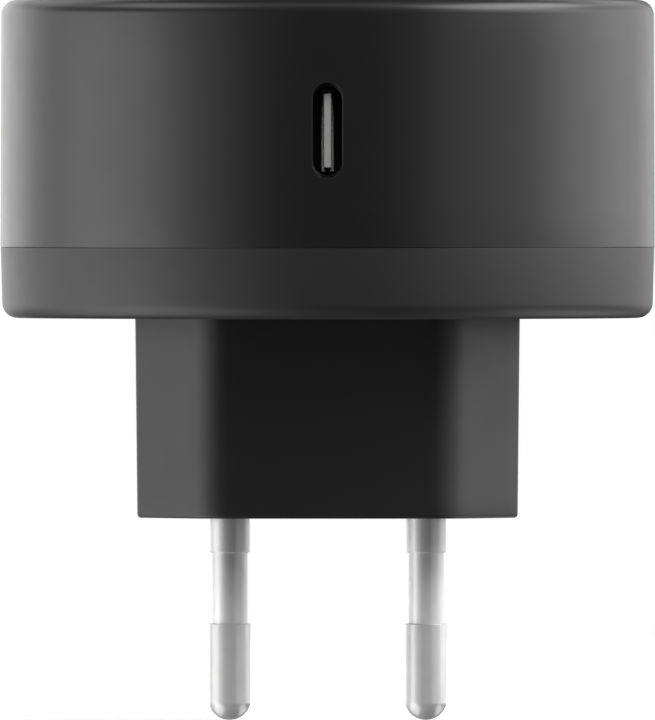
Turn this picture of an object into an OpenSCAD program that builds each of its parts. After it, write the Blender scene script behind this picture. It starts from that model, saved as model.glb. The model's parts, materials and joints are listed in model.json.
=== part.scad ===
// Round plug-in smart power unit with a USB-C output.
// The origin lies between the two pins on the end face of the plug base.
// +Z points out of the wall socket, towards the room. The USB-C port faces -Y.

/* [Drum] */
// Outer diameter of the round housing at its split line
drum_d = 62; // [60:0.5:66]
// Height of the front shell, from the split line to the front face
front_h = 23.4; // [23:0.1:30]
// Height of the rear shell, from its wall-side face to the split line
rear_h = 6.7; // [6.2:0.1:8]
// Wall thickness of both shells
wall = 2; // [1.8:0.1:2.2]
// Floor thickness of the rear shell
floor_t = 2.4; // [2.2:0.1:2.8]
// Edge radius around the front face
front_edge_r = 1.4; // [0.6:0.1:1.6]
// Edge radius around the wall-side face
rear_edge_r = 1.45; // [0.6:0.05:1.6]
// How much smaller the front shell's radius is at its face
front_draft = 0.09; // [0:0.01:0.3]
// How much smaller the rear shell's radius is at its wall side
rear_draft = 0.17; // [0:0.01:0.3]

/* [Plug base] */
// Depth of the plug base that enters the socket's recess
base_h = 18.9; // [18:0.1:21]
// Width of the plug base across its grooved sides
base_w = 36.4; // [36:0.1:37]
// Thickness of the plug base between its two plain faces
base_t = 26; // [25.6:0.1:26.6]
// Angle between a bevelled side's normal and the plain face's normal
bevel_a = 53; // [52:0.5:54]
// Width of the flat side that carries the guide groove
side_flat = 8.6; // [8.4:0.1:9]
// How much each side draws in towards the end face
base_draft = 0.2; // [0:0.05:0.4]
// Width of the guide grooves
groove_w = 5.2; // [4.6:0.1:5.6]
// Depth of the guide grooves
groove_d = 2.2; // [1.8:0.1:2.4]

/* [Pins] */
// Distance between the pin axes
pin_spacing = 18.6; // [18:0.1:19]
// Diameter of the bare contact end
pin_d = 4; // [3.94:0.01:4.06]
// Length of a pin from the plug base's end face
pin_l = 19.2; // [18.5:0.1:19.5]
// Length of the sleeved part of a pin
sleeve_l = 10.1; // [9.5:0.1:11]
// Length of the thick collar at the root of the sleeve
collar_l = 3.3; // [2:0.1:5]
// Diameter of the collar
collar_d = 3.86; // [3.7:0.02:3.9]
// Diameter of the sleeve's waist
waist_d = 3.46; // [3.3:0.02:3.6]

/* [USB-C port] */
// Height of the port's centre above the plug base's end face
port_z = 36.6; // [36:0.1:38]
// Long side of the slot in the housing
port_l = 8.9; // [8.8:0.05:9.1]
// Short side of the slot in the housing
port_t = 2.84; // [2.8:0.02:3.1]

/* [Button] */
// Diameter of the round button
button_d = 12.8; // [11:0.2:13]
// Outer diameter of the light ring around it
ring_d = 16.8; // [16.6:0.2:18]
// How far the button moves when it is pressed
button_travel = 0.3; // [0.2:0.05:0.35]

/* [Hidden] */
$fn = 64;
gap = 0.1;

// Levels along Z
rear_z = base_h;
floor_z = rear_z + floor_t;
flange_t = 1.5;
flange_top = floor_z + flange_t;
split_z = rear_z + rear_h;
front_z = split_z + front_h;
ceiling_z = front_z - wall;
end_wall = 2.5;
board_t = 1.6;
board_top = flange_top + 4.1;
board_low = board_top - board_t;
logic_t = 1;
logic_top = ceiling_z - 3.4;
logic_low = logic_top - logic_t;

// Radii of the housing and the round boards
drum_r = drum_d / 2;
rear_r = drum_r - 0.04;
cavity_r = drum_r - wall;
lip_t = 1;
lip_h = 2.4;
flange_r = 27.6;
board_r = 27.6;
logic_r = 25.8;

// Screws and the bosses that take them
case_ring = 24.5;
case_angles = [45, 135, 225, 315];
boss_r = 3;
case_shank_r = 1.1;
case_head_r = 2;
case_head_h = 1.4;
case_sink = 1.6;
case_screw_l = 12;
post_ring = 24;
post_angles = [90, 195, 345];
post_r = 2.4;
small_shank_r = 0.8;
small_head_r = 1.7;
small_head_h = 1.1;
stud_ring = 20;
stud_angles = [30, 150, 270];
stud_r = 2;

// Plan of the plug base: two rounded corners in each quarter
half_w = base_w / 2;
half_t = base_t / 2;
bevel_n = [sin(bevel_a), cos(bevel_a)];
bevel_reach = bevel_n * [half_w, side_flat / 2];
plain_r = 4.4;
side_r = 1;
plain_c = [(bevel_reach - plain_r - bevel_n[1] * (half_t - plain_r)) / bevel_n[0], half_t - plain_r];
side_c = [half_w - side_r, (bevel_reach - side_r - bevel_n[0] * (half_w - side_r)) / bevel_n[1]];
end_edge = 0.3;

// Inside of the plug base
hollow_x = 13.8;
hollow_y = 11.2;
hollow_cut = [4.4, 5.6];

// Pins and their contacts
pin_x = pin_spacing / 2;
core_r = 1.4;
pin_head_r = 3.2;
pin_head_h = 1.2;
tail_r = 1.2;
tail_top = 8;
retainer_t = 1.5;
strip_t = 0.4;
strip_w = 4;

// USB-C receptacle, standing on edge behind the slot
usb_l = 8.94;
usb_t = 3.16;
usb_wall = 0.25;
usb_depth = 7.3;
usb_mouth_y = -drum_r + 1;
tongue_l = 7;
tongue_t = 0.7;
tongue_depth = 4.6;
root_l = 7.8;
root_t = 1.16;
pad_count = 12;
pad_pitch = 0.5;
usb_board_t = 1;
usb_board_z = port_z + usb_l / 2 + 0.2;

// Button, light ring and switch
button_r = button_d / 2;
ring_r = ring_d / 2;
button_top = front_z - 0.1;
ring_lip = ceiling_z - 0.4;
ring_base = ceiling_z - 1.4;
ring_flange_r = ring_r + 2.2;
ring_bore_r = 8.2;
button_flange_r = 7.9;
nib_r = 1.5;
nib_low = ring_base - 0.15;
switch_w = 5.2;
switch_top = logic_top + 1.4;
plunger_r = 1.2;
plunger_low = logic_top + 0.5 + button_travel;

// Places of the parts on the power board
fuse_at = [9.5, 2.5];
varistor_at = [22.8, 3.5];
input_capacitor_at = [17.5, 3.5];
choke_at = [6.5, 14.5];
bridge_at = [0.8, 1];
bulk_capacitor_y = 5.4;
primary_switch_at = [0.3, 6.4];
transformer_at = [-11, 4];
safety_capacitor_at = [-1, -5];
optocoupler_at = [9, -5.2];
barrier_y = -9.3;
sync_rectifier_at = [-2.2, -13];
output_capacitor_x = -8;
output_capacitor_y = [-14.5, -21.5];
inductor_at = [9.5, -14];
output_switch_at = [8.5, -21];
header_at = [-17.2, -11.6];
spreader_y = 16.8;

// Places of the parts on the logic board
processor_at = [15.5, -1];
wireless_at = [-16, 1.5];
led_ring = 9.3;

// ---- Shapes that repeat ----

// Half section of a body whose wall leans in from wide_r to narrow_r, with a rounded far edge
module drafted_section(wide_r, narrow_r, height, edge_r) {
    lean = atan((wide_r - narrow_r) / height);
    edge_y = height - edge_r;
    edge_x = wide_r - edge_y * tan(lean) - edge_r / cos(lean);
    polygon([[0, 0], [wide_r, 0], [edge_x + edge_r * cos(lean), edge_y + edge_r * sin(lean)],
        [edge_x, height], [0, height]]);
    translate([edge_x, edge_y]) circle(r = edge_r);
}

// Places its children on a circle, once for each angle
module around(ring, angles) {
    for (a = angles) {
        rotate([0, 0, a]) translate([ring, 0, 0]) children();
    }
}

// Draws its children in all four quarters of the plan
module quarters() {
    for (x = [0, 1]) {
        for (y = [0, 1]) {
            mirror([x, 0, 0]) mirror([0, y, 0]) children();
        }
    }
}

// Block that stands on level z, centred on a point of the plan
module block(at, size, z) {
    translate([at[0] - size[0] / 2, at[1] - size[1] / 2, z]) cube(size);
}

// Slot with round ends in the XZ plane, running along +Y from y
module upright_slot(length, thickness, y, depth) {
    r = thickness / 2;
    translate([0, y, port_z]) rotate([-90, 0, 0]) {
        linear_extrude(height = depth) {
            square([thickness, length - thickness], center = true);
            for (s = [-1, 1]) {
                translate([0, s * (length / 2 - r)]) circle(r = r);
            }
        }
    }
}

// Points along an arc
function arc(centre, r, from_a, to_a, steps) = [for (i = [0:steps])
    let (a = from_a + (to_a - from_a) * i / steps) centre + r * [cos(a), sin(a)]];

// One quarter of the plug base's outline, grown by a clearance, from the grooved side to the plain one
function base_quarter(grow) = concat(
    arc(side_c, side_r + grow, 0, 90 - bevel_a, 4),
    arc(plain_c, plain_r + grow, 90 - bevel_a, 90, 12));

// A list of points scaled along X and Y, and a list in reverse order
function scaled(points, x, y) = [for (p = points) [p[0] * x, p[1] * y]];
function reversed(points) = [for (i = [len(points) - 1:-1:0]) points[i]];

// Plan of the plug base, grown by a clearance
module base_plan(grow) {
    q = base_quarter(grow);
    polygon(concat(q, reversed(scaled(q, -1, 1)), scaled(q, -1, -1), reversed(scaled(q, 1, -1))));
}

// Solid outside of the plug base: a straight neck in the drum, a drafted wall and a bevelled end edge
module base_outside() {
    end_scale = 1 - base_draft / half_w;
    translate([0, 0, rear_z]) linear_extrude(height = floor_t) base_plan(0);
    translate([0, 0, rear_z]) mirror([0, 0, 1])
        linear_extrude(height = rear_z - end_edge, scale = end_scale) base_plan(0);
    translate([0, 0, end_edge]) mirror([0, 0, 1])
        linear_extrude(height = end_edge, scale = 1 - end_edge / half_w) scale(end_scale) base_plan(0);
}

// Screw that stands on its head at z = 0 and points along +Z
module screw(head_r, head_h, shank_r, length) {
    socket_r = head_r * 0.5;
    difference() {
        union() {
            cylinder(r = head_r, h = head_h);
            cylinder(r = shank_r, h = head_h + length);
        }
        translate([0, 0, -1]) cylinder(r = socket_r, h = 1 + head_h * 0.6, $fn = 6);
    }
}

// Radial electrolytic can that stands on z = 0, with a beaded rim
module can(r, h) {
    difference() {
        cylinder(r = r, h = h);
        translate([0, 0, 1.6]) rotate_extrude() translate([r + 0.1, 0]) circle(r = 0.5, $fn = 24);
        translate([0, 0, h - 0.3]) cylinder(r = r - 0.7, h = 1);
    }
}

// Flat chip package with legs along two sides, standing on level z
module chip(at, size, legs, z) {
    leg = [0.4, 0.9, 0.3];
    block(at, size, z + 0.1);
    for (i = [0:legs - 1]) {
        x = at[0] + (i - (legs - 1) / 2) * size[0] / legs;
        for (s = [-1, 1]) {
            block([x, at[1] + s * (size[1] + leg[1]) / 2], leg, z);
        }
        block([x, at[1]], [leg[0], size[1], leg[2]], z);
    }
}

// ---- Housing ----

module front_shell() {
    hole_r = ring_r + 0.05;
    color("#333333") difference() {
        union() {
            difference() {
                translate([0, 0, split_z]) rotate_extrude($fn = 180)
                    drafted_section(drum_r, drum_r - front_draft, front_h, front_edge_r);
                translate([0, 0, split_z - 1]) cylinder(r = cavity_r, h = ceiling_z - split_z + 1, $fn = 180);
                translate([0, 0, split_z - 1])
                    cylinder(r = cavity_r + lip_t + 0.05, h = lip_h + 1 + gap, $fn = 180);
            }
            around(case_ring, case_angles)
                translate([0, 0, flange_top]) cylinder(r = boss_r, h = ceiling_z - flange_top + 0.5);
            around(post_ring, post_angles)
                translate([0, 0, board_top]) cylinder(r = post_r, h = ceiling_z - board_top + 0.5);
            around(stud_ring, stud_angles)
                translate([0, 0, logic_top]) cylinder(r = stud_r, h = ceiling_z - logic_top + 0.5);
        }
        around(case_ring, case_angles)
            translate([0, 0, flange_top - 1]) cylinder(r = case_shank_r, h = case_screw_l);
        around(post_ring, post_angles)
            translate([0, 0, board_top - 1]) cylinder(r = small_shank_r, h = 8);
        around(stud_ring, stud_angles)
            translate([0, 0, logic_top - 1]) cylinder(r = small_shank_r, h = 4);
        upright_slot(port_l, port_t, -drum_r - 1, wall + 3);
        upright_slot(usb_l + 2 * gap, usb_t + 2 * gap, usb_mouth_y, wall + 1);
        translate([0, 0, ceiling_z - 1]) cylinder(r = hole_r, h = wall + 2);
    }
}

module rear_shell() {
    color("#303030") difference() {
        union() {
            translate([0, 0, split_z]) mirror([0, 0, 1]) rotate_extrude($fn = 180)
                drafted_section(rear_r, rear_r - rear_draft, rear_h, rear_edge_r);
            translate([0, 0, split_z - 1]) cylinder(r = cavity_r + lip_t, h = lip_h + 1, $fn = 180);
        }
        translate([0, 0, floor_z]) cylinder(r = cavity_r, h = rear_h + lip_h, $fn = 180);
        translate([0, 0, rear_z - 1]) linear_extrude(height = floor_t + 2) base_plan(gap);
        around(case_ring, case_angles) {
            translate([0, 0, rear_z - 1]) cylinder(r = case_shank_r + 0.2, h = floor_t + 2);
            translate([0, 0, rear_z - 1]) cylinder(r = case_head_r + 0.4, h = case_sink + 1);
        }
    }
}

module plug_base() {
    color("#303030") difference() {
        union() {
            difference() {
                union() {
                    base_outside();
                    translate([0, 0, floor_z]) cylinder(r = flange_r, h = flange_t, $fn = 120);
                }
                translate([0, 0, end_wall]) linear_extrude(height = flange_top) quarters()
                    polygon([[0, 0], [hollow_x, 0], [hollow_x, hollow_y - hollow_cut[1]],
                        [hollow_x - hollow_cut[0], hollow_y], [0, hollow_y]]);
                for (s = [-1, 1]) {
                    translate([s * half_w, 0, (rear_z - 1) / 2])
                        cube([2 * groove_d, groove_w, rear_z + 1], center = true);
                }
            }
            translate([0, 0, end_wall - 0.5]) cylinder(r = post_r, h = pin_head_h + 0.5);
        }
        for (s = [-1, 1]) {
            translate([s * pin_x, 0, -1]) cylinder(r = collar_d / 2, h = end_wall + 2);
        }
        translate([0, 0, 1]) cylinder(r = small_shank_r, h = 10);
        around(case_ring, case_angles)
            translate([0, 0, floor_z - 1]) cylinder(r = case_shank_r + 0.2, h = flange_t + 2);
    }
}

module case_screws() {
    color("silver") around(case_ring, case_angles)
        translate([0, 0, rear_z + case_sink - case_head_h])
            screw(case_head_r, case_head_h, case_shank_r, case_screw_l);
}

// ---- Plug ----

module pin(s) {
    r = pin_d / 2;
    tip_z = r - pin_l;
    color("lightgray") translate([s * pin_x, 0, 0]) rotate_extrude() {
        polygon([[0, tip_z], [r, tip_z], [r, -sleeve_l], [core_r, -sleeve_l], [core_r, end_wall],
            [pin_head_r, end_wall], [pin_head_r, end_wall + pin_head_h],
            [tail_r, end_wall + pin_head_h], [tail_r, tail_top], [0, tail_top]]);
        translate([0, tip_z]) intersection() {
            circle(r = r);
            translate([0, -r]) square([r, r]);
        }
    }
}

module live_pin() {
    pin(-1);
}

module neutral_pin() {
    pin(1);
}

module pin_sleeve(s) {
    collar_r = collar_d / 2;
    waist_r = waist_d / 2;
    color("silver") translate([s * pin_x, 0, 0]) rotate_extrude()
        polygon([[core_r, -sleeve_l], [waist_r, -sleeve_l], [waist_r, -collar_l],
            [collar_r, -collar_l], [collar_r, end_wall], [core_r, end_wall]]);
}

module live_pin_sleeve() {
    pin_sleeve(-1);
}

module neutral_pin_sleeve() {
    pin_sleeve(1);
}

module pin_retainer() {
    z = end_wall + pin_head_h;
    color("ivory") difference() {
        block([0, 0], [25.6, 8, retainer_t], z);
        for (s = [-1, 1]) {
            translate([s * pin_x, 0, z - 1]) cylinder(r = tail_r + 0.05, h = retainer_t + 2);
        }
        translate([0, 0, z - 1]) cylinder(r = small_shank_r + gap, h = retainer_t + 2);
    }
}

module retainer_screw() {
    z = end_wall + pin_head_h + retainer_t;
    color("silver") translate([0, 0, z + small_head_h]) mirror([0, 0, 1])
        screw(small_head_r, small_head_h, small_shank_r, 4);
}

// Spring strip from a pin's tail up to the power board
module contact(s) {
    inner_x = pin_x - 2;
    outer_x = pin_x + 3.1;
    color("goldenrod") mirror([s < 0 ? 1 : 0, 0, 0]) translate([0, strip_w / 2, 0]) rotate([90, 0, 0])
        linear_extrude(height = strip_w)
            polygon([[inner_x, tail_top], [outer_x, tail_top], [outer_x, board_low],
                [inner_x + 1, board_low], [inner_x + 1, board_low - strip_t],
                [outer_x - strip_t, board_low - strip_t], [outer_x - strip_t, tail_top + strip_t],
                [inner_x, tail_top + strip_t]]);
}

module live_contact() {
    contact(-1);
}

module neutral_contact() {
    contact(1);
}

// ---- Power board ----

module power_board() {
    color("darkgreen") difference() {
        translate([0, 0, board_low]) cylinder(r = board_r, h = board_t, $fn = 120);
        around(case_ring, case_angles)
            translate([0, 0, board_low - 1]) cylinder(r = boss_r + 0.4, h = board_t + 2);
        around(post_ring, post_angles)
            translate([0, 0, board_low - 1]) cylinder(r = small_shank_r + 0.2, h = board_t + 2);
    }
}

module board_screws() {
    color("silver") around(post_ring, post_angles)
        translate([0, 0, board_low - small_head_h])
            screw(small_head_r, small_head_h, small_shank_r, board_t + 5);
}

module fuse() {
    color("sienna") translate([fuse_at[0], fuse_at[1], board_top]) {
        translate([0, 0, 0.5]) cylinder(r = 4, h = 7.5);
        for (s = [-1, 1]) {
            translate([s * 2.54, 0, 0]) cylinder(r = 0.3, h = 1);
        }
    }
}

module varistor() {
    r = 4.5;
    color("royalblue") translate([varistor_at[0], varistor_at[1], board_top]) {
        translate([-1.5, 0, r + 1]) rotate([0, 90, 0]) cylinder(r = r, h = 3);
        for (s = [-1, 1]) {
            translate([0, s * 2.5, 0]) cylinder(r = 0.3, h = 3);
        }
    }
}

module input_capacitor() {
    color("gold") block(input_capacitor_at, [5, 13, 11], board_top);
}

module choke_core() {
    color("dimgray") translate([choke_at[0], choke_at[1], board_top + 4]) difference() {
        cylinder(r = 5.4, h = 4, center = true);
        cylinder(r = 2.6, h = 6, center = true);
    }
}

// Two windings of seven turns each around the ring core
module choke_windings() {
    turns = 7;
    wire_r = 0.4;
    half_gap = 0.15;
    color("peru") translate([choke_at[0], choke_at[1], board_top + 4]) {
        for (side = [0, 180]) {
            for (i = [0:turns - 1]) {
                rotate([0, 0, side + (i - (turns - 1) / 2) * 18]) translate([4, 0, 0]) difference() {
                    cube([2.8 + 2 * half_gap + 4 * wire_r, 2 * wire_r,
                        4 + 2 * half_gap + 4 * wire_r], center = true);
                    cube([2.8 + 2 * half_gap, 1, 4 + 2 * half_gap], center = true);
                }
            }
        }
    }
}

module bridge_rectifier() {
    color("#222222") chip(bridge_at, [6, 4, 2.2], 2, board_top);
}

module bulk_capacitors() {
    color("#202040") for (s = [-1, 1]) {
        translate([0, s * bulk_capacitor_y, board_low - 15]) can(4.8, 15);
    }
}

module primary_switch() {
    color("#222222") chip(primary_switch_at, [4.6, 2.6, 1.6], 4, board_top);
}

// Two halves of a ferrite core around the bobbin
module transformer_core() {
    color("#3a3a3a") translate([transformer_at[0], transformer_at[1], board_top + 1]) difference() {
        translate([-8, -4, 0]) cube([16, 8, 12]);
        for (s = [-1, 1]) {
            translate([s * 4.25 - 1.75, -5, 2]) cube([3.5, 10, 8]);
        }
    }
}

module transformer_bobbin() {
    color("#1c1c1c") translate([transformer_at[0], transformer_at[1], board_top]) {
        difference() {
            translate([-5.8, -6.2, 3.1]) cube([11.6, 12.4, 0.8]);
            translate([-2.6, -4.1, 2]) cube([5.2, 8.2, 3]);
            for (s = [-1, 1]) {
                translate([s * 7.1 - 1.2, -4.1, 2]) cube([2.4, 8.2, 3]);
            }
        }
        for (x = [-4, 0, 4]) {
            for (s = [-1, 1]) {
                translate([x, s * 5.6, 0]) cylinder(r = 0.35, h = 3.4);
            }
        }
    }
}

module transformer_winding() {
    color("gold") translate([transformer_at[0], transformer_at[1], board_top + 4]) difference() {
        translate([-5.6, -6, 0]) cube([11.2, 12, 6.5]);
        translate([-2.6, -4.1, -1]) cube([5.2, 8.2, 9]);
        for (s = [-1, 1]) {
            translate([s * 7.1 - 1.2, -4.1, -1]) cube([2.4, 8.2, 9]);
        }
    }
}

module safety_capacitor() {
    r = 3.2;
    color("cornflowerblue") translate([safety_capacitor_at[0], safety_capacitor_at[1], board_top]) {
        translate([0, 1.3, r + 0.8]) rotate([90, 0, 0]) cylinder(r = r, h = 2.6);
        for (s = [-1, 1]) {
            translate([s * 2, 0, 0]) cylinder(r = 0.3, h = 3);
        }
    }
}

module optocoupler() {
    color("#f0f0e0") chip(optocoupler_at, [4.4, 2.8, 2], 2, board_top);
}

module sync_rectifier() {
    color("#222222") chip(sync_rectifier_at, [3.6, 3.4, 1.5], 3, board_top);
}

module output_capacitors() {
    color("#c8ccd0") for (y = output_capacitor_y) {
        translate([output_capacitor_x, y, board_top + 11]) mirror([0, 0, 1]) can(3.15, 11);
    }
}

module output_inductor() {
    color("#4a4a4a") difference() {
        block(inductor_at, [6.6, 6.6, 3.2], board_top);
        translate([inductor_at[0], inductor_at[1], board_top + 2.8]) cylinder(r = 1.6, h = 1);
    }
}

module output_switch() {
    color("#222222") chip(output_switch_at, [4.4, 3.6, 1], 4, board_top);
}

module insulation_barrier() {
    color("whitesmoke") block([0, barrier_y], [44, 0.6, 14], board_top);
}

module heat_spreader() {
    color("lightsteelblue") block([0, spreader_y], [24, 7, 1.4], flange_top);
}

module thermal_pad() {
    color("lightpink") block([0, spreader_y], [22, 6, board_low - flange_top - 1.4], flange_top + 1.4);
}

// ---- USB-C board ----

module usb_board() {
    color("darkgreen") translate([usb_t / 2, -28.2, board_top])
        cube([usb_board_t, 16.2, usb_board_z - board_top]);
}

module usb_controller() {
    color("#222222") translate([usb_t / 2 + usb_board_t, -19.5, port_z - 2]) cube([0.9, 4, 4]);
}

module usb_shell() {
    color("gray") difference() {
        upright_slot(usb_l, usb_t, usb_mouth_y, usb_depth);
        upright_slot(usb_l - 2 * usb_wall, usb_t - 2 * usb_wall, usb_mouth_y - 1, usb_depth + 2);
    }
}

module usb_tongue() {
    root_y = usb_mouth_y + 0.9 + tongue_depth;
    plug_l = usb_l - 2 * usb_wall;
    color("#8a8a8a") {
        translate([-tongue_t / 2, usb_mouth_y + 0.9, port_z - tongue_l / 2])
            cube([tongue_t, tongue_depth, tongue_l]);
        translate([-root_t / 2, root_y - 1.4, port_z - root_l / 2]) cube([root_t, 1.4, root_l]);
        upright_slot(plug_l, usb_t - 2 * usb_wall, root_y, usb_depth - 0.9 - tongue_depth);
    }
}

// Twelve contact pads on each face of the tongue
module usb_contacts() {
    pad = [0.06, 3, 0.26];
    color("gold") for (s = [-1, 1]) {
        for (i = [0:pad_count - 1]) {
            translate([s * (tongue_t + pad[0]) / 2 - pad[0] / 2, usb_mouth_y + 1.1,
                port_z + (i - (pad_count - 1) / 2) * pad_pitch - pad[2] / 2]) cube(pad);
        }
    }
}

// ---- Logic board ----

module board_header() {
    height = logic_low - board_top;
    color("#1c1c1c") translate([header_at[0], header_at[1], board_top]) {
        for (z = [0, height - 2.5]) {
            translate([-5.1, -1.25, z]) cube([10.2, 2.5, 2.5]);
        }
        for (i = [0:3]) {
            translate([(i - 1.5) * 2.54 - 0.32, -0.32, 0]) cube([0.64, 0.64, height]);
        }
    }
}

module logic_board() {
    color("darkblue") difference() {
        translate([0, 0, logic_low]) cylinder(r = logic_r, h = logic_t, $fn = 120);
        around(case_ring, case_angles)
            translate([0, 0, logic_low - 1]) cylinder(r = boss_r + 0.4, h = logic_t + 2);
        around(post_ring, post_angles)
            translate([0, 0, logic_low - 1]) cylinder(r = post_r + 0.4, h = logic_t + 2);
        around(stud_ring, stud_angles)
            translate([0, 0, logic_low - 1]) cylinder(r = small_shank_r + 0.2, h = logic_t + 2);
    }
}

module logic_screws() {
    color("silver") around(stud_ring, stud_angles)
        translate([0, 0, logic_low - small_head_h])
            screw(small_head_r, small_head_h, small_shank_r, logic_t + 2.5);
}

module processor() {
    color("#222222") block(processor_at, [7, 7, 0.9], logic_top);
}

module wireless_module() {
    color("darkgreen") block(wireless_at, [10, 12, 0.8], logic_top);
}

module shield_can() {
    color("lightgray") block(wireless_at - [0, 1.3], [8.6, 8.4, 1.9], logic_top + 0.8);
}

module status_leds() {
    color("white") around(led_ring, case_angles) block([0, 0], [1.6, 1.6, 0.7], logic_top);
}

// ---- Button ----

module switch_body() {
    color("#2a2a2a") difference() {
        block([0, 0], [switch_w, switch_w, switch_top - logic_top], logic_top);
        translate([0, 0, logic_top + 0.4]) cylinder(r = plunger_r + gap, h = 2);
    }
}

module switch_plunger() {
    color("#d8d8d8") translate([0, 0, plunger_low])
        cylinder(r = plunger_r, h = nib_low - 0.05 - plunger_low);
}

module light_ring() {
    ring_top = front_z - 0.05;
    color("white") rotate_extrude($fn = 120)
        polygon([[button_r + 0.2, ring_lip], [button_r + 0.2, ring_top], [ring_r, ring_top],
            [ring_r, ceiling_z], [ring_flange_r, ceiling_z], [ring_flange_r, ring_base],
            [ring_bore_r, ring_base], [ring_bore_r, ring_lip]]);
}

module button_cap() {
    flange_z = ring_base;
    color("#3a3a3a") {
        translate([0, 0, flange_z]) cylinder(r = button_flange_r, h = ring_lip - gap - flange_z);
        translate([0, 0, flange_z]) rotate_extrude($fn = 120)
            drafted_section(button_r, button_r, button_top - flange_z, 0.4);
        translate([0, 0, nib_low]) cylinder(r = nib_r, h = flange_z - nib_low + 0.2);
    }
}

front_shell();
rear_shell();
plug_base();
live_pin();
neutral_pin();
live_pin_sleeve();
neutral_pin_sleeve();
pin_retainer();
retainer_screw();
live_contact();
neutral_contact();
case_screws();
power_board();
board_screws();
fuse();
varistor();
input_capacitor();
choke_core();
choke_windings();
bridge_rectifier();
bulk_capacitors();
primary_switch();
transformer_core();
transformer_bobbin();
transformer_winding();
safety_capacitor();
optocoupler();
sync_rectifier();
output_capacitors();
output_inductor();
output_switch();
insulation_barrier();
heat_spreader();
thermal_pad();
usb_board();
usb_controller();
usb_shell();
usb_tongue();
usb_contacts();
board_header();
logic_board();
logic_screws();
processor();
wireless_module();
shield_can();
status_leds();
switch_body();
switch_plunger();
light_ring();
button_cap();
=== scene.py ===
import json
import math

import bmesh
import bpy
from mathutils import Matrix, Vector


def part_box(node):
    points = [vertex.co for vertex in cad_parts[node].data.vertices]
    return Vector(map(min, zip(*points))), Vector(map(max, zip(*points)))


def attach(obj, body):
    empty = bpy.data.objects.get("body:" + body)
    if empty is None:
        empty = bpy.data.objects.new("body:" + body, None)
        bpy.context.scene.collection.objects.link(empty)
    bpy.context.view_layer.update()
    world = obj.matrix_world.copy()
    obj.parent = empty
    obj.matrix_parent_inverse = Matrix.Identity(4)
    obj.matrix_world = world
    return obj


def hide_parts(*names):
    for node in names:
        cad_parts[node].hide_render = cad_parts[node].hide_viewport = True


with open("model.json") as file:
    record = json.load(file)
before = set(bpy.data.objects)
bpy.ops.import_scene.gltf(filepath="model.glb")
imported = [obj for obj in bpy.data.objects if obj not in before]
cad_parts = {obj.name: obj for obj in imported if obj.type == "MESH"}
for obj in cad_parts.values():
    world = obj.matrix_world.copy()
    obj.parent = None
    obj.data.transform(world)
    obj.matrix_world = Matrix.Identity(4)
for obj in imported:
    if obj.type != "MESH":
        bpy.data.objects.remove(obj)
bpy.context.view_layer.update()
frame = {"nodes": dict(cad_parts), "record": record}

# ---------------------------------------------------------------- sizes from the frame, in metres

MM = 0.001
HOUSING = "housing"
BUTTON = "button"

front_low, front_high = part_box("front_shell")
rear_low, rear_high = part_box("rear_shell")
base_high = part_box("plug_base")[1]
pin_low, pin_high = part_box("neutral_pin")
sleeve_low, sleeve_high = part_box("neutral_pin_sleeve")
socket_low, socket_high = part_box("usb_shell")
ring_low, ring_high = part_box("light_ring")
cap_low, cap_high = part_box("button_cap")

WALL = 2 * MM
FLOOR_T = 2.4 * MM
LIP_H = 2.4 * MM
LIP_T = 1 * MM
LIP_GAP = 0.05 * MM
LIP_ROUND = 0.15 * MM
RECESS_GAP = 0.1 * MM
FRONT_DRAFT = 0.09 * MM
REAR_DRAFT = 0.17 * MM
FRONT_EDGE = 1.4 * MM
REAR_EDGE = 1.45 * MM
SHARP = 0.06 * MM
RING_FLANGE = 2.2 * MM
RING_GAP = 0.05 * MM
TONGUE_DEPTH = 5.5 * MM

drum_r = front_high.x
rear_r = rear_high.x
cavity_r = drum_r - WALL
face_z = front_high.z
ceiling_z = face_z - WALL
split_z = rear_high.z - LIP_H
wall_z = rear_low.z
port_z = (socket_low.z + socket_high.z) / 2
pin_x = (pin_low.x + pin_high.x) / 2
collar_r = (sleeve_high.x - sleeve_low.x) / 2
centre_z = (pin_low.z + face_z) / 2
hole_r = ring_high.x - RING_FLANGE + RING_GAP
mouth_y = socket_low.y
tongue_root_y = mouth_y + TONGUE_DEPTH

# Screws through both shells, on a square round the middle
SCREW_RING = 24.5 * MM
SCREW_HEAD_R = 2.4 * MM
SCREW_CLEAR_R = 1.3 * MM
SCREW_WELL = 1.6 * MM
SCREW_PLACES = [(SCREW_RING * x / math.sqrt(2), SCREW_RING * y / math.sqrt(2))
    for x, y in ((1, 1), (-1, 1), (-1, -1), (1, -1))]


# ---------------------------------------------------------------- camera, floor and light

LENS = 1400
CAMERA_ELEVATION = 0.37
FRAME_HEIGHT = (face_z - pin_low.z) * 1.0005
SENSOR = 36
ROOM = 0.07
FLOOR_RADIUS = 0.5
FLOOR_GAP = 0.3 * MM


def make_camera():
    """A very long lens, square on to the port, framed on the whole height of the object."""
    data = bpy.data.cameras.new("camera")
    data.lens = LENS
    data.sensor_width = SENSOR
    distance = FRAME_HEIGHT * LENS / SENSOR
    data.clip_end = 3 * distance
    camera = bpy.data.objects.new("camera", data)
    tilt = math.radians(CAMERA_ELEVATION)
    camera.location = (0, -distance * math.cos(tilt), centre_z + distance * math.sin(tilt))
    camera.rotation_euler = (math.radians(90) - tilt, 0, 0)
    bpy.context.scene.collection.objects.link(camera)
    bpy.context.scene.camera = camera


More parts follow.
